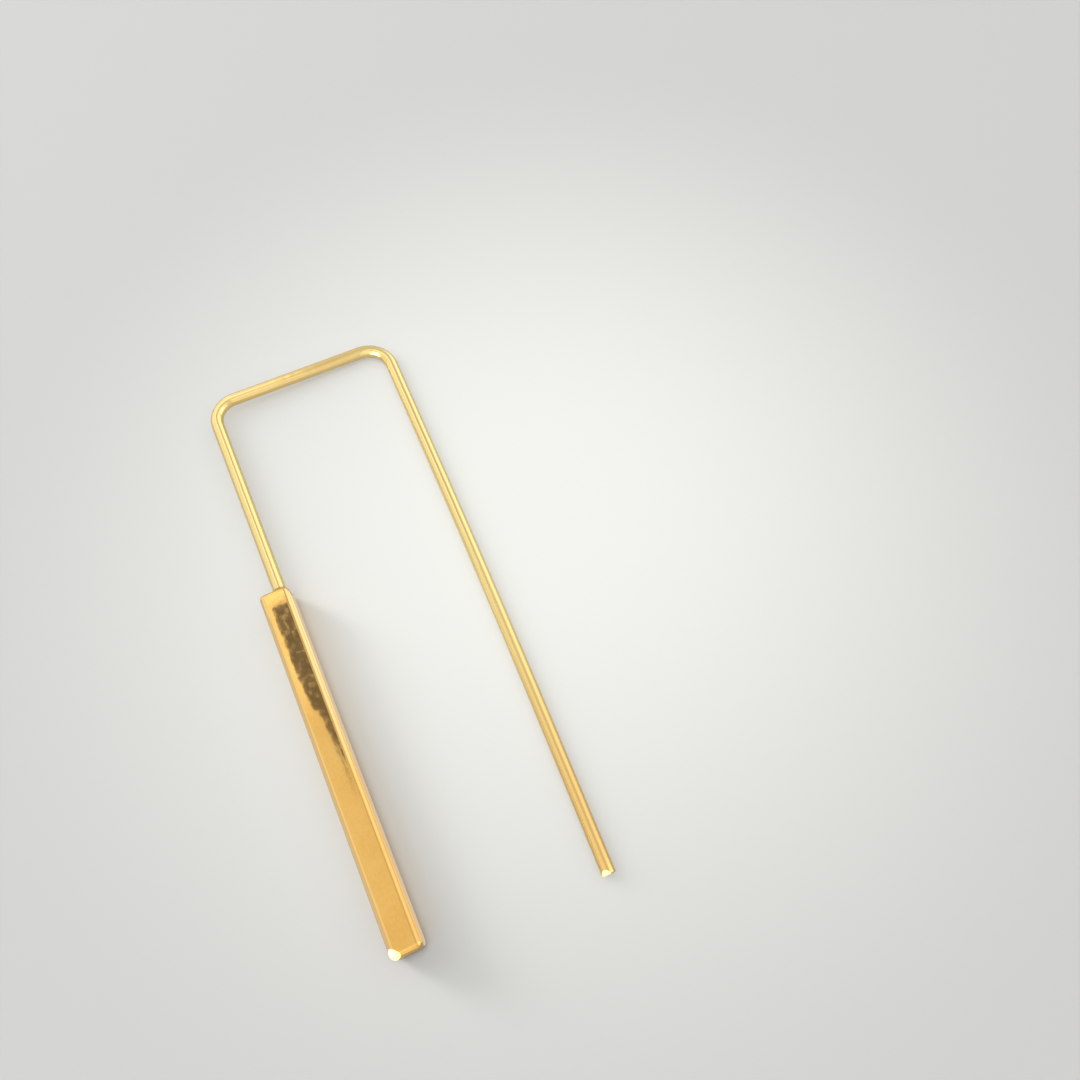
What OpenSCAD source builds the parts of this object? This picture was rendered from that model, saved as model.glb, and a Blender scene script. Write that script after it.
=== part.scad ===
// A bar earring: one round wire, bent twice at right angles, with a solid square bar on its short front arm.
// It lies on a flat surface as it would by itself: on the bar's inner lower edge and the outer side of the rear arm.
// Seen from above with +Y away from the viewer, the bridge is at the top, the bar on the left and the ear post on the
// right. The origin is under the middle of the earring, on the surface.

/* [Wire] */
// Diameter of the ear wire
wire_d = 0.9; // [0.8:0.1:1]
// Radius of the front corner's bend, measured to the middle of the wire
front_bend_r = 1.7; // [1.2:0.1:1.7]
// Radius of the rear corner's bend, which is a little wider
rear_bend_r = 2; // [1.2:0.4:2.4]
// Length of the bridge between the two corners
bridge_len = 13.8; // [11:0.2:17]
// Visible length of the short front arm, from its corner to the bar
front_len = 16.4; // [12:0.2:22]
// Length of the rear arm that goes through the ear, from its corner to the free end
rear_len = 42.2; // [38:0.2:48]

/* [Bend angles] */
// How far the front corner is closed past a right angle
front_lean = 1.1; // [0:0.1:2]
// How far the rear corner is closed past a right angle
rear_lean = 0.2; // [0:0.2:0.4]
// How far the rear arm is bowed back towards the bar, by one slight turn
rear_bow = 1.2; // [1.2:0.2:1.6]
// Radius of that slight turn
bow_r = 12; // [11:0.5:12]
// Straight length of the rear arm from the slight turn to its free end
post_straight = 20; // [12:1:24]

/* [Bar] */
// Length of the square bar
bar_len = 25.1; // [18:0.1:30]
// Width and thickness of the square bar
bar_w = 2.1; // [1.8:0.1:3]
// Rounding of the bar's long edges and of its ends
bar_edge_r = 0.4; // [0.2:0.05:0.6]
// How far the wire enters the bar off its middle, towards the rear arm
socket_offset = 0.35; // [0:0.05:0.4]

/* [Joint and ends] */
// Depth of the blind hole drilled into the bar for the wire
socket_depth = 6; // [3:0.5:10]
// Gap between the wire and the wall of its hole
socket_gap = 0.03; // [0.02:0.01:0.05]
// Gap between the wire's end and the floor of its hole
floor_gap = 0.2; // [0.1:0.1:0.5]
// Broken edge around the flat-cut free end
tip_chamfer = 0.1; // [0.05:0.05:0.2]

/* [Hidden] */
$fn = 80;
eps = 0.01;

wire_r = wire_d / 2;
half_w = bar_w / 2;
core = half_w - bar_edge_r;            // from the bar's axis to the centres of its rounded edges
bar_x = -socket_offset;                // the bar's axis beside the wire's

// Turns of the wire at its corners, and how much of each straight run a bend uses up
front_turn = 90 + front_lean;
rear_turn = 90 + rear_lean;
front_tangent = front_bend_r * tan(front_turn / 2);
rear_tangent = rear_bend_r * tan(rear_turn / 2);
bow_chord = 2 * bow_r * sin(rear_bow / 2);
rear_run = rear_len - rear_tangent - bow_chord - post_straight;

// Headings of the bridge and of the rear arm's two straight lengths, as angles from +X
bridge_dir = -front_lean;
rear_dir = bridge_dir - rear_turn;
post_dir = rear_dir - rear_bow;

// Points on the middle of the wire, in the wire's own plane, from the front corner at 0, 0
function way(angle) = [cos(angle), sin(angle)];
rear_corner = bridge_len * way(bridge_dir);
rear_bend_centre = rear_corner - rear_tangent * way(bridge_dir) + rear_bend_r * way(bridge_dir - 90);
tip = rear_corner + (rear_tangent + rear_run) * way(rear_dir) + bow_chord * way(rear_dir - rear_bow / 2)
    + post_straight * way(post_dir);

// The earring tips about the bar's inner lower edge until the rear arm touches the surface
reach = rear_bend_centre[0] + rear_bend_r;                 // the rear arm's farthest point from the front arm
lever = reach - (bar_x + core);
rest_tilt = asin((bar_edge_r - wire_r) / norm([lever, core])) + atan2(core, lever);

// Outer box of the tilted earring, which puts the origin under its middle
box_left = (bar_x - core) * cos(rest_tilt) - core * sin(rest_tilt) - bar_edge_r;
box_right = reach * cos(rest_tilt) + wire_r;
box_back = front_bend_r - front_tangent + wire_r;
box_front = tip[1] - (wire_r - tip_chamfer) * abs(cos(post_dir));
lift = reach * sin(rest_tilt) + wire_r;

// Straight wire along +Y. The next piece starts where this one ends
module straight(length) {
    rotate([-90, 0, 0]) cylinder(h = length, d = wire_d);
    translate([0, length, 0]) children();
}

// A turn to the right, by an angle, on a radius. The next piece starts where it ends
module bend(radius, angle) {
    translate([radius, 0, 0]) {
        rotate_extrude(start = 180 - angle, angle = angle)
            translate([radius, 0]) circle(d = wire_d);
        rotate([0, 0, -angle]) translate([-radius, 0, 0]) children();
    }
}

// The flat-cut end of the wire, its edge broken
module cut_end() {
    rotate([-90, 0, 0]) cylinder(h = tip_chamfer, r1 = wire_r, r2 = wire_r - tip_chamfer);
}

// A flat shape with rounded corners, centred
module rounded_outline(size) {
    r = bar_edge_r;
    square([size[0] - 2 * r, size[1]], center = true);
    square([size[0], size[1] - 2 * r], center = true);
    for (sx = [-1, 1], sy = [-1, 1])
        translate([sx * (size[0] / 2 - r), sy * (size[1] / 2 - r)]) circle(r = r);
}

// Lays the wire's plane on the surface at its resting tilt
module laid() {
    translate([-(box_left + box_right) / 2, -(box_back + box_front) / 2, lift])
        rotate([0, rest_tilt, 0]) children();
}

// One wire: the peg inside the bar, the front arm, the bridge, the bowed rear arm and its straight free end
module ear_wire() {
    peg = socket_depth - floor_gap;
    color("gold") laid()
        translate([0, -front_len - peg, 0])
            straight(peg + front_len - front_tangent)
            bend(front_bend_r, front_turn)
            straight(bridge_len - front_tangent - rear_tangent)
            bend(rear_bend_r, rear_turn)
            straight(rear_run)
            bend(bow_r, rear_bow)
            straight(post_straight - tip_chamfer)
            cut_end();
}

// The solid square bar, all its edges rounded, with the blind hole for the wire in its upper end
module bar() {
    color("goldenrod") laid()
        difference() {
            translate([bar_x, -front_len - bar_len / 2, 0])
                intersection() {
                    rotate([90, 0, 0]) linear_extrude(bar_len, center = true) rounded_outline([bar_w, bar_w]);
                    linear_extrude(bar_w, center = true) rounded_outline([bar_w, bar_len]);
                    rotate([0, 90, 0]) linear_extrude(bar_w, center = true) rounded_outline([bar_w, bar_len]);
                }
            translate([0, -front_len - socket_depth, 0])
                rotate([-90, 0, 0]) cylinder(h = socket_depth + eps, r = wire_r + socket_gap);
        }
}

ear_wire();
bar();
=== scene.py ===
# %% [markdown]
# # A gold bar earring, lying on a pale surface
# The earring is two pieces of metal: a round wire, bent twice at right angles, and a solid square bar that
# the wire runs into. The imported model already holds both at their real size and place. What it can't hold
# is the look of polished gold, which is almost nothing but reflections: a mirror shows every facet, so both
# pieces are modelled again here as smooth meshes, in the same place, and given finishes that catch the
# light as the real ones do.

# %% Load the frame
import math

import bmesh
import bpy
from mathutils import Matrix, Vector


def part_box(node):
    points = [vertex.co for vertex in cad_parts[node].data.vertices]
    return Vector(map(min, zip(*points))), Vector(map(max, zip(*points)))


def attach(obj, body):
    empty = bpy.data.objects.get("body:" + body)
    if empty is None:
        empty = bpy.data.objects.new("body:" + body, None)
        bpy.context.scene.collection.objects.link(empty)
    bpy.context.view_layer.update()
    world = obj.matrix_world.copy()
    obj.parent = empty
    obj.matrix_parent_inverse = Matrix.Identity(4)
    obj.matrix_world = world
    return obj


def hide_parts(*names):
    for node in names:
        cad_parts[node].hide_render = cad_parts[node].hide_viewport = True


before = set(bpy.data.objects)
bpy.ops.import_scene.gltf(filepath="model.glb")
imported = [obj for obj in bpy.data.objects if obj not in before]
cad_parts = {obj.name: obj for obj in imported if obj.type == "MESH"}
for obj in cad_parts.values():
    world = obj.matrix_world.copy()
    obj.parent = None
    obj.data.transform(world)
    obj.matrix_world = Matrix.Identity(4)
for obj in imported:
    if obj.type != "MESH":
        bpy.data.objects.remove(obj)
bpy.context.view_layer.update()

MM = 0.001               # Blender counts in metres, a bench in millimetres


def in_mm(vector):
    """A place or a size in millimetres, short enough to print."""
    return [round(c / MM, 2) for c in vector]


# %% [markdown]
# ## The sizes that shape everything
# A jeweller would make this from a short list: how thick the wire is, how long each straight run is, how
# far each corner is bent, and the bar's length, width and rounding. They are kept here in millimetres, as
# they would be on the bench, and turned into metres only when a mesh is finished.

# %% Driving sizes
WIRE_R = 0.45            # half the wire's thickness
FRONT_BEND, REAR_BEND = 1.7, 2.0      # the two corners, to the middle of the wire
BRIDGE = 13.8            # corner to corner, over the top of the ear lobe
FRONT = 16.4             # from the front corner down to the bar
REAR = 42.2              # from the rear corner down to the free end
FRONT_TURN, REAR_TURN = 91.1, 90.2
BOW_TURN, BOW_LONG = 1.2, 24.0        # the rear arm's slight bow, and the length it is spread over
BOW_FROM_TIP = 20.0      # from the free end up to the middle of the bow
BAR_LONG, BAR_WIDE, BAR_EDGE = 25.1, 2.1, 0.4
BAR_OFF_WIRE = -0.35     # the bar's axis lies this far outside the wire's
HOLE_DEEP, HOLE_GAP, FLOOR_GAP = 6.0, 0.03, 0.2
TIP_ROUND = 0.1
CREASE = math.radians(20)             # a fold sharper than this stays crisp

# %% [markdown]
# ## How the earring lies
# A flat wire figure with a thick bar on one side can't lie level. Its weight is mostly in the bar, yet the
# middle of its weight is just outside the bar's edge, so it rolls over that edge by two or three degrees
# until the thin rear arm touches the surface as well. The two circles that touch the surface, the bar's
# rounded edge and the wire, give the angle. The whole earring is drawn level, and this angle is put in when
# each piece is laid down.

# %% Resting tilt and place
core = BAR_WIDE / 2 - BAR_EDGE
front_tangent = FRONT_BEND * math.tan(math.radians(FRONT_TURN / 2))
rear_tangent = REAR_BEND * math.tan(math.radians(REAR_TURN / 2))
bridge_way = math.radians(90 - FRONT_TURN)
reach = (BRIDGE - rear_tangent) * math.cos(bridge_way) + REAR_BEND * math.sin(bridge_way) + REAR_BEND
lever = reach - (BAR_OFF_WIRE + core)
tilt = math.asin((BAR_EDGE - WIRE_R) / math.hypot(lever, core)) + math.atan2(core, lever)

bar_low, bar_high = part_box("bar")
bar_middle = Vector((BAR_OFF_WIRE, -FRONT - BAR_LONG / 2, 0))
turned = Matrix.Rotation(tilt, 4, "Y")
LAID = Matrix.Translation((bar_low + bar_high) / 2 / MM - turned @ bar_middle) @ turned
print(f"tilt {math.degrees(tilt):.2f} degrees, plane's corner at", [round(c, 2) for c in LAID.translation])


def settle(bm, name):
    """Turns a bmesh drawn level in millimetres into a finished object, laid down in the shared frame."""
    bmesh.ops.transform(bm, matrix=Matrix.Scale(MM, 4) @ LAID, verts=bm.verts)
    mesh = bpy.data.meshes.new(name)
    bm.to_mesh(mesh)
    bm.free()
    piece = bpy.data.objects.new(name, mesh)
    bpy.context.scene.collection.objects.link(piece)
    return piece


# %% [markdown]
# ## The ear wire
# The real one is drawn wire, pulled through a die and bent over round-nosed pliers. The model follows the
# same order: a circle is extruded ring by ring, straight where the wire is straight and turned a little at
# each step where it is bent. A curve with a bevel would be quicker, but extruding keeps every ring known,
# so the unwrapped map can run exactly along the wire, which the drawn lines of its finish need.

# %% Grow a wire ring by ring
SIDES = 48
ALONG = Matrix.Rotation(math.radians(90), 3, "X")      # turns a level disk until it faces along the wire


class Wire:
    """A round wire that is extruded forwards, ring by ring, from a circle at a starting place."""

    def __init__(self, start):
        self.bm = bmesh.new()
        disk = bmesh.ops.create_circle(self.bm, segments=SIDES, radius=WIRE_R, cap_ends=True)["verts"]
        bmesh.ops.rotate(self.bm, verts=disk, cent=(0, 0, 0), matrix=ALONG)
        bmesh.ops.translate(self.bm, verts=disk, vec=start)
        self.ring = sorted(disk, key=lambda v: math.atan2(v.co.z, v.co.x - start.x))
        self.place = Vector(start)
        self.way = Vector((0, 1, 0))
        self.long = 0.0
        self.map = {v: (i, 0.0) for i, v in enumerate(self.ring)}

    def grow(self, matrix, length):
        """Extrudes the open end once and moves the new ring."""
        rim = [self.bm.edges.get(pair) for pair in zip(self.ring, self.ring[1:] + self.ring[:1])]
        made = bmesh.ops.extrude_edge_only(self.bm, edges=rim)["geom"]
        fresh = [g for g in made if isinstance(g, bmesh.types.BMVert)]
        self.ring = [min(fresh, key=lambda n: (n.co - v.co).length_squared) for v in self.ring]
        bmesh.ops.transform(self.bm, matrix=matrix, verts=self.ring)
        self.long += length
        self.map.update({v: (i, self.long) for i, v in enumerate(self.ring)})

    def straight(self, length, steps):
        """Runs the wire straight on."""
        stride = length / steps
        for _ in range(steps):
            self.place += self.way * stride
            self.grow(Matrix.Translation(self.way * stride), stride)

    def bend(self, radius, angle, steps):
        """Turns the wire to its right, in its own plane."""
        side = Vector((self.way.y, -self.way.x, 0))
        centre = self.place + side * radius
        turn = Matrix.Rotation(-math.radians(angle / steps), 4, "Z")
        about = Matrix.Translation(centre) @ turn @ Matrix.Translation(-centre)
        for _ in range(steps):
            self.place = about @ self.place
            self.way = turn.to_3x3() @ self.way
            self.grow(about, math.radians(angle / steps) * radius)

    def round_end(self, radius, steps=6):
        """Rolls the rim of a flat-cut end over a small radius."""
        for k in range(steps):
            before, after = [math.pi / 2 * i / steps for i in (k, k + 1)]
            forward = radius * (math.sin(after) - math.sin(before))
            wide, narrow = [WIRE_R - radius + radius * math.cos(a) for a in (before, after)]
            self.place += self.way * forward
            shrink = Matrix.Scale(narrow / wide, 4)
            about = Matrix.Translation(self.place) @ shrink @ Matrix.Translation(-self.place)
            self.grow(about @ Matrix.Translation(self.way * forward), forward)


# %% [markdown]
# ### A map along the wire
# The finish needs to know where it is on the wire, also round a bend. Unwrapping by hand would mean marking
# a seam, but here every vertex already knows its place: its number in the ring and how far along the wire
# the ring is. The last strip of faces meets the first vertex again, so there the number goes on to the full
# count instead of to 0.

# %% Cap and unwrap
def capped(wire):
    """Caps the open end and lays out the map: across is round the wire, up is along it in millimetres."""
    bmesh.ops.contextual_create(wire.bm, geom=wire.ring)
    layer = wire.bm.loops.layers.uv.new("along")
    for face in wire.bm.faces:
        places = [wire.map[v][0] for v in face.verts]
        is_side = len(places) == 4
        wraps = is_side and 0 in places and SIDES - 1 in places
        for loop, i in zip(face.loops, places):
            loop[layer].uv = ((SIDES if wraps and i == 0 else i) / SIDES, wire.map[loop.vert][1])
        face.smooth = is_side
    bmesh.ops.recalc_face_normals(wire.bm, faces=wire.bm.faces)
    return wire.bm


# %% [markdown]
# ### Knocked corners
# Gold is soft, and a corner of it is soon knocked flat. Two such knocks catch the light on this one as pale
# spots: one on the wire's cut end and one on the bar's lower outer corner. Each is a little flat face that
# mirrors one bright part of the room. Pushing vertices in would spoil the smooth shading round them, so a
# bisect cuts the corner off along a plane, and the open cut is closed with one flat face.

# %% Knock a corner flat
KNOCKED = (-0.48, -0.45, 0.76)        # which way both small faces look
TIP_KNOCK, BAR_KNOCK = 0.11, 0.18     # how deep they go into the wire's end and the bar's corner
NEAR_ENOUGH = 0.5                     # the reach that a vertex loses for each millimetre to the corner


def knock(bm, corner, depth):
    """Cuts off the vertex that reaches out farthest near a corner, and closes the cut with one flat face."""
    way = Vector(KNOCKED).normalized()
    found = max(bm.verts, key=lambda v: way.dot(v.co) - NEAR_ENOUGH * (v.co - Vector(corner)).length)
    cut = bmesh.ops.bisect_plane(bm, geom=bm.verts[:] + bm.edges[:] + bm.faces[:],
                                 plane_co=found.co - way * depth, plane_no=way, clear_outer=True)
    rim = [g for g in cut["geom_cut"] if isinstance(g, bmesh.types.BMEdge)]
    for face in bmesh.ops.contextual_create(bm, geom=rim)["faces"]:
        face.smooth = False
    bmesh.ops.recalc_face_normals(bm, faces=bm.faces)


# %% [markdown]
# ### From the bar to the free end
# The wire starts as a peg inside the bar, and its rear arm isn't quite straight: along its middle it bows
# back towards the bar by about one degree. A bow is drawn as a bend of very large radius, whose two ends
# meet the straight runs without a kink. The short steps are where light has to travel smoothly round a
# corner.

# %% The ear wire's own shape
wire = Wire(Vector((0, -FRONT - HOLE_DEEP + FLOOR_GAP, 0)))
wire.straight(HOLE_DEEP - FLOOR_GAP + FRONT - front_tangent, steps=12)
wire.bend(FRONT_BEND, FRONT_TURN, steps=28)
wire.straight(BRIDGE - front_tangent - rear_tangent, steps=8)
wire.bend(REAR_BEND, REAR_TURN, steps=30)
wire.straight(REAR - rear_tangent - BOW_FROM_TIP - BOW_LONG / 2, steps=6)
wire.bend(BOW_LONG / math.radians(BOW_TURN), BOW_TURN, steps=16)
wire.straight(BOW_FROM_TIP - BOW_LONG / 2 - TIP_ROUND, steps=6)
wire.round_end(TIP_ROUND)
print(f"wire {wire.long:.1f} mm long, tip at", [round(c, 2) for c in wire.place])

bm = capped(wire)
knock(bm, wire.place, TIP_KNOCK)
ear_wire = settle(bm, "ear_wire_gold")
ear_wire.data.set_sharp_from_angle(angle=CREASE)
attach(ear_wire, "root")
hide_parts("ear_wire")

# %% [markdown]
# ## The bar
# The bar is a length of square rod whose edges were rolled over on a polishing wheel. A cube, stretched and
# bevelled on all its edges, is exactly that shape. The hole for the wire is drilled afterwards, off the
# middle, so its rim just bites into the rounded edge, and a Boolean cut with a cylinder follows that rim
# without any work by hand. The long flats keep flat normals and only the rounded edges shade smoothly,
# which a Weighted Normal modifier settles.

# %% Square rod with rolled edges, and the drill
def rounded_bar():
    """The bar in the wire's own plane, still without its hole."""
    bm = bmesh.new()
    bmesh.ops.create_cube(bm, size=1)
    bmesh.ops.scale(bm, vec=(BAR_WIDE, BAR_LONG, BAR_WIDE), verts=bm.verts)
    bmesh.ops.bevel(bm, geom=bm.edges[:], affect="EDGES", offset=BAR_EDGE, segments=10, profile=0.5,
                    material=-1)
    bmesh.ops.translate(bm, vec=bar_middle, verts=bm.verts)
    for face in bm.faces:
        face.smooth = True
    knock(bm, bar_middle + Vector((-BAR_WIDE, -BAR_LONG, BAR_WIDE)) / 2, BAR_KNOCK)
    return bm


def drill():
    """The drill for the wire's hole, run in from a millimetre outside the bar's upper end."""
    bm = bmesh.new()
    deep = HOLE_DEEP + 1
    bore = WIRE_R + HOLE_GAP
    bmesh.ops.create_cone(bm, cap_ends=True, segments=SIDES, radius1=bore, radius2=bore, depth=deep)
    bmesh.ops.rotate(bm, verts=bm.verts, cent=(0, 0, 0), matrix=ALONG)
    bmesh.ops.translate(bm, verts=bm.verts, vec=(0, -FRONT - HOLE_DEEP + deep / 2, 0))
    return bm


# %% Drill the bar
bar = settle(rounded_bar(), "bar_gold")
bit = settle(drill(), "drill")
cut = bar.modifiers.new("hole", "BOOLEAN")
cut.operation = "DIFFERENCE"
cut.solver = "EXACT"
cut.object = bit
bpy.context.view_layer.update()
with_hole = bar.evaluated_get(bpy.context.evaluated_depsgraph_get())
drilled = bpy.data.meshes.new_from_object(with_hole)
bar.modifiers.clear()
bar.data = drilled
bpy.data.objects.remove(bit)
drilled.set_sharp_from_angle(angle=CREASE)
shading = bar.modifiers.new("even shading", "WEIGHTED_NORMAL")
shading.keep_sharp = True
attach(bar, "root")
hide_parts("bar")

for piece, node in ((ear_wire, "ear_wire"), (bar, "bar")):
    corners = [Vector(c) for c in piece.bound_box]
    mine = Vector(map(max, *corners)) - Vector(map(min, *corners))
    node_low, node_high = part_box(node)
    print(piece.name, len(piece.data.polygons), "faces, mm", in_mm(mine), "CAD", in_mm(node_high - node_low))

# %% [markdown]
# ## A small language for finishes
# A finish is a graph of nodes, and most of those nodes are sums. Written as nodes they hide what they do,
# so one small class wraps a socket and lets Python's own operators add the Math nodes. Everything else
# comes from one method that takes a node's type, its settings and its sockets.

# %% Shader values as Python expressions
class Value:
    """A number or colour that comes out of a node."""

    def __init__(self, tree, socket):
        self.tree = tree
        self.socket = socket

    def math(self, operation, *others, flip=False):
        terms = [*others, self] if flip else [self, *others]
        return self.tree.add("ShaderNodeMath", {"operation": operation}, dict(enumerate(terms)))

    def __add__(self, other):
        return self.math("ADD", other)

    def __sub__(self, other):
        return self.math("SUBTRACT", other)

    def __rsub__(self, other):
        return self.math("SUBTRACT", other, flip=True)

    def __mul__(self, other):
        return self.math("MULTIPLY", other)

    def __truediv__(self, other):
        return self.math("DIVIDE", other)

    __radd__ = __add__
    __rmul__ = __mul__

    def clamp(self):
        """Nothing below 0 or above 1."""
        return self.math("MAXIMUM", 0).math("MINIMUM", 1)

    def ease(self, start, end):
        """0 before start, 1 past end, and a smooth rise between them. It falls where start is the larger."""
        t = ((self - start) / (end - start)).clamp()
        return t * t * (3 - 2 * t)

    def band(self, start, full, fade, end):
        """A smooth band: it rises from start to full and falls again from fade to end."""
        return self.ease(start, full) * self.ease(end, fade)


# %% Node trees that are filled in by calls
class Tree:
    """A node tree, with a call for each kind of node that comes up often."""

    def __init__(self, tree):
        self.tree = tree
        tree.nodes.clear()

    def add(self, kind, settings=None, sockets=None, out=0):
        """Any node: its type, its settings, then what its sockets hold. Gives back one output."""
        node = self.tree.nodes.new(kind)
        for name, setting in (settings or {}).items():
            setattr(node, name, setting)
        for key, what in (sockets or {}).items():
            if isinstance(what, Value):
                self.tree.links.new(what.socket, node.inputs[key])
            else:
                node.inputs[key].default_value = what
        return Value(self, node.outputs[out]) if node.outputs else node

    def mix(self, factor, first, second):
        """One colour where the factor is 0, the other where it is 1."""
        return self.add("ShaderNodeMix", {"data_type": "RGBA"}, {0: factor, 6: first, 7: second}, out=2)

    def noise(self, where, scale, detail=2.0):
        """Soft noise from 0 to 1. Scale is in features per unit of the coordinate."""
        return self.add("ShaderNodeTexNoise", None, {"Vector": where, "Scale": scale, "Detail": detail})

    def stretched(self, where, scale):
        """The same coordinate, pulled by a different amount along each way."""
        return self.add("ShaderNodeMapping", None, {"Vector": where, "Scale": scale})

    def split(self, vector, ways):
        """The numbers in a vector, such as its "Y" or its "XYZ"."""
        return [self.add("ShaderNodeSeparateXYZ", None, {0: vector}, out=way) for way in ways]

    def distance(self, where, point):
        """How far a place is from one point."""
        return self.add("ShaderNodeVectorMath", {"operation": "DISTANCE"}, {0: where, 1: point}, out="Value")


def finish(name, piece):
    """A new material on a piece: its tree, ready for nodes."""
    material = bpy.data.materials.new(name)
    material.use_nodes = True
    piece.data.materials.clear()
    piece.data.materials.append(material)
    return Tree(material.node_tree)


# %% [markdown]
# ## Polished gold plate
# Gold plate on brass has one colour in mirror reflection, so base colour and full metalness do most of the
# work. What makes it real is small: the plate is a touch deeper in some places, the polishing cloth leaves
# fine lines along the metal, and the surface is never quite flat, so that straight reflections wander.
# Lines and waves go into a Bump, and the slight haze of handling goes into the roughness. A Mapping node
# first turns and centres the coordinates on the piece and counts them in millimetres, so that every size
# below can be read as on the bench.

# %% Colours of the plate, and the shader they share
LEMON = (1.0, 0.775, 0.33, 1)       # thin plate on bright drawn wire
HONEY = (1.0, 0.725, 0.29, 1)       # the same wire over the bridge
WARM = (0.94, 0.61, 0.21, 1)        # and towards its free end
RICH = (1.0, 0.605, 0.175, 1)       # the bar's thicker plate
DEEP = (0.93, 0.52, 0.13, 1)        # where the bar's plate is thickest
WORN_AND_SHEEN = (1.0, 0.69, 0.31, 1)         # on the rounded edges: plate thinned by polishing, and a painted highlight
JOINT_SHADE = (0.20, 0.12, 0.05, 1)     # painted shade where the wire enters the bar


def gold(tree, colour, roughness, height):
    """Joins a finish to the shader. Height is in millimetres."""
    bump = tree.add("ShaderNodeBump", None, {"Strength": 1.0, "Distance": MM, "Height": height})
    shader = tree.add("ShaderNodeBsdfPrincipled", None,
                      {"Base Color": colour, "Metallic": 1.0, "Roughness": roughness, "Normal": bump})
    tree.add("ShaderNodeOutputMaterial", None, {"Surface": shader})


def bench_place(tree, centre):
    """Object coordinates turned and centred on a piece, in millimetres."""
    return tree.add("ShaderNodeMapping", {"vector_type": "TEXTURE"},
                    {"Vector": tree.add("ShaderNodeTexCoord", out="Object"), "Location": (LAID @ centre) * MM,
                     "Rotation": (0, tilt, 0), "Scale": (MM, MM, MM)})


# %% [markdown]
# ### The wire's finish
# Drawing leaves hair-fine lines that run along the wire, round every bend. They follow the unwrapped map:
# the pattern is squeezed across the wire and stretched along it. Just past the joint where the wire enters
# the bar its colour is darkened as painted shade, and towards its free end the wire is warmer in colour.

# %% Drawn gold wire
tree = finish("drawn gold wire", ear_wire)
along = tree.add("ShaderNodeUVMap", {"uv_map": "along"})
run = tree.split(along, "Y")[0]
place = bench_place(tree, Vector((0, 0, 0)))

DRAWN = (60, 0.35, 1)               # sixty fine lines round the wire, each about three millimetres long
lines = tree.noise(tree.stretched(along, DRAWN), 1.0, detail=3)
patches = tree.noise(place, 0.26)
dents = tree.noise(tree.stretched(place, (1, 0.55, 1)), 1.6, detail=1)
LINE_HIGH, DENT_HIGH = 0.0005, 0.009            # heights of the bumps, in millimetres

joint = HOLE_DEEP - FLOOR_GAP       # where the wire leaves the bar, counted along the wire
front_corner = joint + FRONT
rear_corner = front_corner + BRIDGE
# painted shade: the wire darkens just past the joint, where it meets the bar's end
joint_shade = run.ease(joint + 0.22 + 0.25 * lines, joint + 0.12)
bridge = run.band(front_corner - 1.5, front_corner + 1.5, rear_corner - 4, rear_corner - 1)
# the wire's colour is warmer towards its free end
towards_tip = run.ease(wire.long - 24, wire.long - 2)
colour = tree.mix(towards_tip * 0.9, tree.mix(bridge * 0.8 + patches * 0.2, LEMON, HONEY), WARM)
rough = 0.13 + 0.06 * lines + 0.05 * patches + 0.3 * joint_shade
gold(tree, tree.mix(joint_shade * 0.9, colour, JOINT_SHADE), rough, dents * DENT_HIGH + lines * LINE_HIGH)
print("wire finish:", len(tree.tree.nodes), "nodes")

# %% [markdown]
# ### The bar's finish
# The bar was polished by hand, so its flats roll a little, most of all near its upper end, where the wheel
# had to stop short of the wire. There the reflections break into small pools. A smooth mask along its
# length fades the pools out, and the same coordinates find the hole, whose rim is darkened as painted shade.
# The rounded edges are paler than the flats: on both, the wheel has thinned the plate, and on the inner one a
# painted highlight grows towards the wire.

# %% Hand-polished gold bar
tree = finish("polished gold bar", bar)
place = bench_place(tree, bar_middle)
side, up_bar, top = tree.split(place, "XYZ")

upper_end = BAR_LONG / 2
near_wire = up_bar.ease(upper_end - 13, upper_end - 6)
clear = up_bar.ease(upper_end - 19, upper_end - 14)         # the part that was polished to a clear mirror
hole = tree.distance(place, (-BAR_OFF_WIRE, upper_end, 0))
# painted shade: the bar's colour darkens round the hole
joint_shade = hole.ease(0.7, 0.5)

outer_edge = side.ease(-0.6, -0.85)
inner_edge = side.ease(0.6, 0.85)
# paler edges: wear on both, and a painted highlight on the inner edge that grows towards the wire
rub_and_sheen = 0.9 * outer_edge + (0.25 + 0.65 * up_bar.ease(-4, 5)) * inner_edge
edges = rub_and_sheen * top.math("ABSOLUTE").ease(0.6, 0.85)

pools = tree.noise(place, 1.5, detail=1)
roll = tree.noise(tree.stretched(place, (1, 0.35, 1)), 0.45, detail=1)
grain = tree.noise(tree.stretched(place, (1, 0.6, 1)), 7)
patches = tree.noise(place, 0.3)
plate = patches.ease(0.4, 0.75) * 0.6 + grain.ease(0.35, 0.7) * 0.3
colour = tree.mix(edges, tree.mix(plate, RICH, DEEP), WORN_AND_SHEEN)
pool_high = 0.0003 + 0.0015 * near_wire
grain_high = 0.0011 - 0.0009 * clear
ROLL_HIGH = 0.0025
height = pools * pool_high + roll * ROLL_HIGH + grain * grain_high
rough = 0.10 - 0.07 * clear + 0.02 * patches + 0.3 * joint_shade
gold(tree, tree.mix(joint_shade * 0.85, colour, JOINT_SHADE), rough, height)
print("bar finish:", len(tree.tree.nodes), "nodes")

# %% [markdown]
# ## The surface it lies on
# A plain pale board whose colour holds a painted pool of light: palest in the middle of the picture and
# falling off towards its corners. The board itself is matt and without any grain that would compete with
# small bright metal. The metal mirrors it a quarter darker than it is, because the lower sides of polished
# gold look deep against a pale surface.

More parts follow.
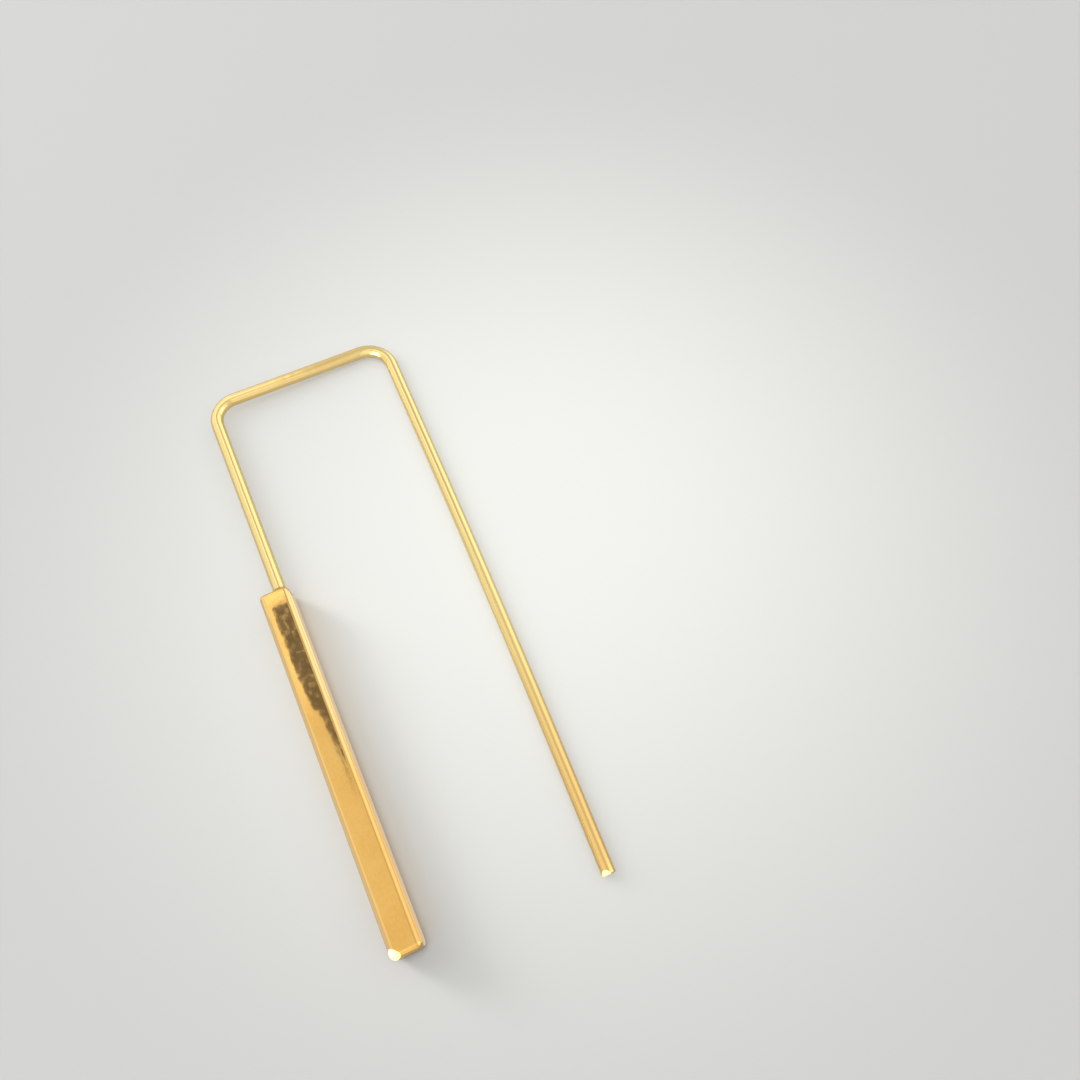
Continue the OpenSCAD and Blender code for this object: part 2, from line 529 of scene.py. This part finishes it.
# %% Pale board
BOARD_HALF = 0.6
PICTURE_MIDDLE = (0.0128, 0.0028, 0)
PALE, SHADED, BLACK = (0.668, 0.673, 0.643, 1), (0.485, 0.485, 0.475, 1), (0, 0, 0, 1)


def stand(bm, name):
    """A finished bmesh in metres becomes a piece of the stage."""
    mesh = bpy.data.meshes.new(name)
    bm.to_mesh(mesh)
    bm.free()
    thing = bpy.data.objects.new(name, mesh)
    bpy.context.scene.collection.objects.link(thing)
    return thing


bm = bmesh.new()
bmesh.ops.create_grid(bm, x_segments=8, y_segments=8, size=BOARD_HALF)
board = stand(bm, "board")
tree = finish("pale matt board", board)
away = tree.distance(tree.add("ShaderNodeTexCoord", out="Object"), PICTURE_MIDDLE)
in_mirrors = tree.add("ShaderNodeLightPath", out="Is Glossy Ray")
# painted pool of light: palest in the middle of the picture, darker towards the corners
colour = tree.mix(away.ease(0.003, 0.045), PALE, SHADED)
colour = tree.mix(in_mirrors * 0.25, colour, BLACK)
shader = tree.add("ShaderNodeBsdfPrincipled", None,
                  {"Base Color": colour, "Roughness": 0.85, "Specular IOR Level": 0.1})
tree.add("ShaderNodeOutputMaterial", None, {"Surface": shader})
print(f"board {2 * BOARD_HALF} m wide")

# %% [markdown]
# ## The room
# Polished metal shows the room more than itself. A sky of nodes stands for a plain bright room, and each of
# its parts is a soft band or spot, so they can be moved one by one until the same edges light up. It is
# brighter on the right, a little dimmer low on the left, and a little brighter in front of and beyond the
# earring. A dim strip over the arms draws the darker line down their middles, a calm patch over the bar
# keeps its flat from glaring, and a short strip beyond it makes the bar's upper end shine. Low in front, a
# large window on the left, a small one on the right and one at the corner give the bright lines and spots.

# %% Soft areas in a plain room
world = bpy.data.worlds.new("room")
world.use_nodes = True
bpy.context.scene.world = world
tree = Tree(world.node_tree)
look = tree.add("ShaderNodeTexCoord", out="Generated")


def facing(way):
    """How directly a look points a given way, from -1 to 1."""
    ways = {0: look, 1: Vector(way).normalized()}
    return tree.add("ShaderNodeVectorMath", {"operation": "DOT_PRODUCT"}, ways, out="Value")


def spot(way, degrees, soft):
    """1 inside a round area, 0 outside it, with a soft edge."""
    return facing(way).ease(math.cos(math.radians(degrees + soft)), math.cos(math.radians(degrees - soft)))


across, beyond = facing((1, 0, 0)), facing((0, 1, 0))

right = across.ease(0.3, 0.7) * (0.17 + 0.17 * beyond.ease(0.05, 0.3)) - 0.12 * across.ease(0.85, 0.98)
left = -0.2 * across.ease(-0.7, -0.95)
ends = 0.1 * beyond.ease(0.5, 0.65) + 0.16 * beyond.band(-0.8, -0.6, -0.2, -0.08)
over_arms = (0.22 + 0.14 * beyond.ease(0.3, 0.42)) * across.band(-0.05, 0.03, 0.45, 0.62)
over_bar = 0.11 * across.band(-0.2, -0.12, -0.05, 0.0) * beyond.band(-0.2, -0.05, 0.28, 0.36)
bar_shine = 0.2 * across.band(-0.17, -0.14, -0.088, -0.08) * beyond.ease(0.27, 0.33)
room = 0.94 + right + left + ends + bar_shine - over_bar - over_arms

low_front = beyond.band(-0.45, -0.3, -0.13, -0.05)
left_window = 4.0 * across.ease(-0.55, -0.7) * low_front
right_window = 0.7 * across.ease(0.55, 0.7) * low_front
corner_window = 2.8 * spot((-0.78, -0.6, 0.17), 11, 3)
windows = left_window + right_window + corner_window

# %% [markdown]
# ### Light for the board
# A sky that was even all round would leave a dark rim round everything that lies on the board. Light that
# comes mostly from straight above leaves the board clean up to the metal's edge, and the lamps further down
# draw the shadow. So the sky gives each kind of ray its own answer: mirrors get the room and its windows,
# the board gets light from overhead, a mirror that is seen from the board gets only a faint haze, and the
# camera sees plain pale grey.

# %% What each kind of ray finds
from_camera, in_mirror, scattered = [tree.add("ShaderNodeLightPath", out=kind)
                                     for kind in ("Is Camera Ray", "Is Glossy Ray", "Diffuse Depth")]
after_board = scattered.clamp()
in_metal = in_mirror * (1 - after_board)
haze = 0.25 * (in_mirror * after_board)
board_light = 0.053 + 1.455 * spot((0, 0, 1), 16, 8)
plain = from_camera * 0.85 + (1 - from_camera) * board_light
strength = in_metal * (room + windows) + haze + (1 - in_mirror) * plain
light = tree.add("ShaderNodeBackground", None, {"Color": (1.0, 0.998, 0.99, 1), "Strength": strength})
tree.add("ShaderNodeOutputWorld", None, {"Surface": light})
print("room:", len(tree.tree.nodes), "nodes")

# %% [markdown]
# ### Cards that only mirrors see
# Product photographers stand dark and pale cards round polished metal, and what each face shows is the card
# that it mirrors. The camera looks past all of them and they cast no shadow. Each is one flat face with a
# glow, which lies level or stands upright. A glow that changes over a card goes into its colour, and its
# strength stays one number.

# %% How a card is made
OVERHEAD = 60
WHITE = (1.0, 1.0, 1.0, 1)


def level(left, near, right, far, height):
    """The corners of a card that lies level."""
    return [(left, near, height), (right, near, height), (right, far, height), (left, far, height)]


def upright(x, near, far, foot, head):
    """The corners of a card that stands along the bar."""
    return [(x, near, foot), (x, far, foot), (x, far, head), (x, near, head)]


def mirror_card(name, corners):
    """A flat card from corners in millimetres, seen in mirrors alone. Gives back its empty finish."""
    bm = bmesh.new()
    bmesh.ops.contextual_create(bm, geom=[bm.verts.new(Vector(c) * MM) for c in corners])
    card = stand(bm, name)
    card.visible_camera = card.visible_diffuse = card.visible_shadow = False
    return finish(name, card)


def shade(colour, amount):
    """The same colour, dimmer or brighter."""
    return [c * amount for c in colour[:3]] + [1]


def glow(tree, colour):
    """Joins a card's finish to a glow of one colour or of a varying one."""
    light = tree.add("ShaderNodeEmission", None, {"Color": colour, "Strength": 1.0})
    tree.add("ShaderNodeOutputMaterial", None, {"Surface": light})


# %% [markdown]
# A dark card overhead gives the bar its dark patch. Its rim is cut to a slant, because that slant draws the
# long tapering line down the bar, and its own mottling breaks the patch up. A narrow grey card, a little
# lower than the camera, is the dark line down the middle of each arm, and a pale one farther off lights the
# bridge.

# %% Three cards overhead
SLANT = [(-12.95, 29.2), (-13.0, 21.8), (-12.8, 16), (-12.6, 14.3),
         (-11.4, 12.2), (-11.1, 10.2), (-10.8, 6.4), (-10.7, 0.6)]
STRAIGHT = [(-9.5, 0.6), (-9.5, 29.2)]
SLATE, PUTTY = (1.0, 1.05, 1.4, 1), (1.0, 0.97, 0.75, 1)

tree = mirror_card("dark card", [(x, y, OVERHEAD) for x, y in SLANT + STRAIGHT])
mottle = tree.noise(tree.add("ShaderNodeTexCoord", out="Object"), 1.3 / MM, detail=4).ease(0.5, 0.68)
glow(tree, tree.mix(mottle, shade(SLATE, 0.17), shade(SLATE, 0.62)))

glow(mirror_card("grey card", level(2.2, -19, 7.4, 62, OVERHEAD)), shade(PUTTY, 0.55))
glow(mirror_card("pale card", level(-15, 30, 2, 75, OVERHEAD)), shade(WHITE, 1.3))

# %% [markdown]
# Three small cards stay close to the bar. One on its outer side calms the left edge. One on its inner side
# brightens the right edge, a little more towards the wire, and a strip of warm card at that one's foot
# keeps the underside of the edge from going brown.

# %% Three cards beside the bar
CREAM, STRAW = (1.0, 0.99, 0.95, 1), (1.0, 0.93, 0.78, 1)
bar_low, bar_high = bar_low / MM, bar_high / MM
inner = bar_high.x + 0.9            # where the inner card stands

glow(mirror_card("left card", upright(bar_low.x - 3, bar_low.y - 1, bar_high.y, 0.1, 6)), shade(CREAM, 0.7))

tree = mirror_card("right card", upright(inner, bar_low.y, bar_high.y, 0.05, 1.8))
up_card = tree.split(tree.add("ShaderNodeTexCoord", out="Object"), "Y")[0] / MM
glow(tree, tree.mix(up_card.ease(-8, 2), shade(WHITE, 0.95), shade(WHITE, 1.3)))

foot = level(bar_high.x - 0.2, bar_low.y, inner, bar_high.y, 0.02)
glow(mirror_card("foot card", foot), shade(STRAW, 0.72))

# %% [markdown]
# ### The lamps
# The wide faint shadow that falls to the lower right of the bar comes from a low lamp at the upper left. A
# large panel and a lamp overhead light the board evenly, and one wide low lamp is so soft that the wire's
# shadow is hardly seen. The first three let only the bar cast a shadow, because wire this thin shows almost
# none in soft light. All are kept out of the mirror reflections, which the room above already holds.

# %% Soft lamps
def area_lamp(name, size, watts, way, distance):
    """A round lamp that faces the earring from some way off, and isn't seen in mirrors."""
    data = bpy.data.lights.new(name, "AREA")
    data.shape = "DISK"
    data.size = size
    data.energy = watts
    lamp = bpy.data.objects.new(name, data)
    lamp.location = way.normalized() * distance
    lamp.rotation_euler = (-lamp.location).to_track_quat("-Z", "Y").to_euler()
    lamp.visible_glossy = False
    bpy.context.scene.collection.objects.link(lamp)
    return lamp


UP = Vector((0, 0, 1))
OVER_LEFT = Vector((-0.643, 0.766, 0))          # level, to the left and away from the viewer
casts_shadow = bpy.data.collections.new("casts the broad shadow")
casts_shadow.objects.link(bar)
for lamp in (area_lamp("low lamp", 0.24, 3.5, OVER_LEFT + 0.335 * UP, 0.8),
             area_lamp("overhead lamp", 0.3, 1.75, UP, 0.8),
             area_lamp("overhead panel", 2.2, 8.2, UP, 0.5)):
    lamp.light_linking.blocker_collection = casts_shadow
area_lamp("wide low lamp", 0.7, 2.7, OVER_LEFT + 0.5 * UP, 0.8)

# %% [markdown]
# ## The camera
# The picture was taken from close above, over the open end of the earring, so the wire looks thinner at the
# bridge than at its free end. The camera stands at that height, tips back from straight down and is rolled
# until the bar slants as it does in the picture. So close, Blender's usual near limit would cut the whole
# earring away.

# %% Camera over the open end
PICTURE_WIDE, FOCAL = 1080, 950               # in pixels of the picture
EYE = Vector((4.327, -23.688, 62.261))        # where the camera stands, in millimetres
TURN = (21.975, 3.385, -24.8)                 # tipped back, leaned and rolled, in degrees
camera_data = bpy.data.cameras.new("camera")
camera_data.sensor_width = 36.0
camera_data.lens = FOCAL / PICTURE_WIDE * camera_data.sensor_width
camera_data.clip_start = 0.002
camera_data.clip_end = 5.0
camera = bpy.data.objects.new("camera", camera_data)
camera.location = EYE * MM
camera.rotation_euler = [math.radians(a) for a in TURN]
bpy.context.scene.collection.objects.link(camera)
bpy.context.scene.camera = camera
bpy.context.scene.view_settings.view_transform = "Standard"
print(f"lens {camera_data.lens:.2f} mm, camera at", in_mm(camera.location))
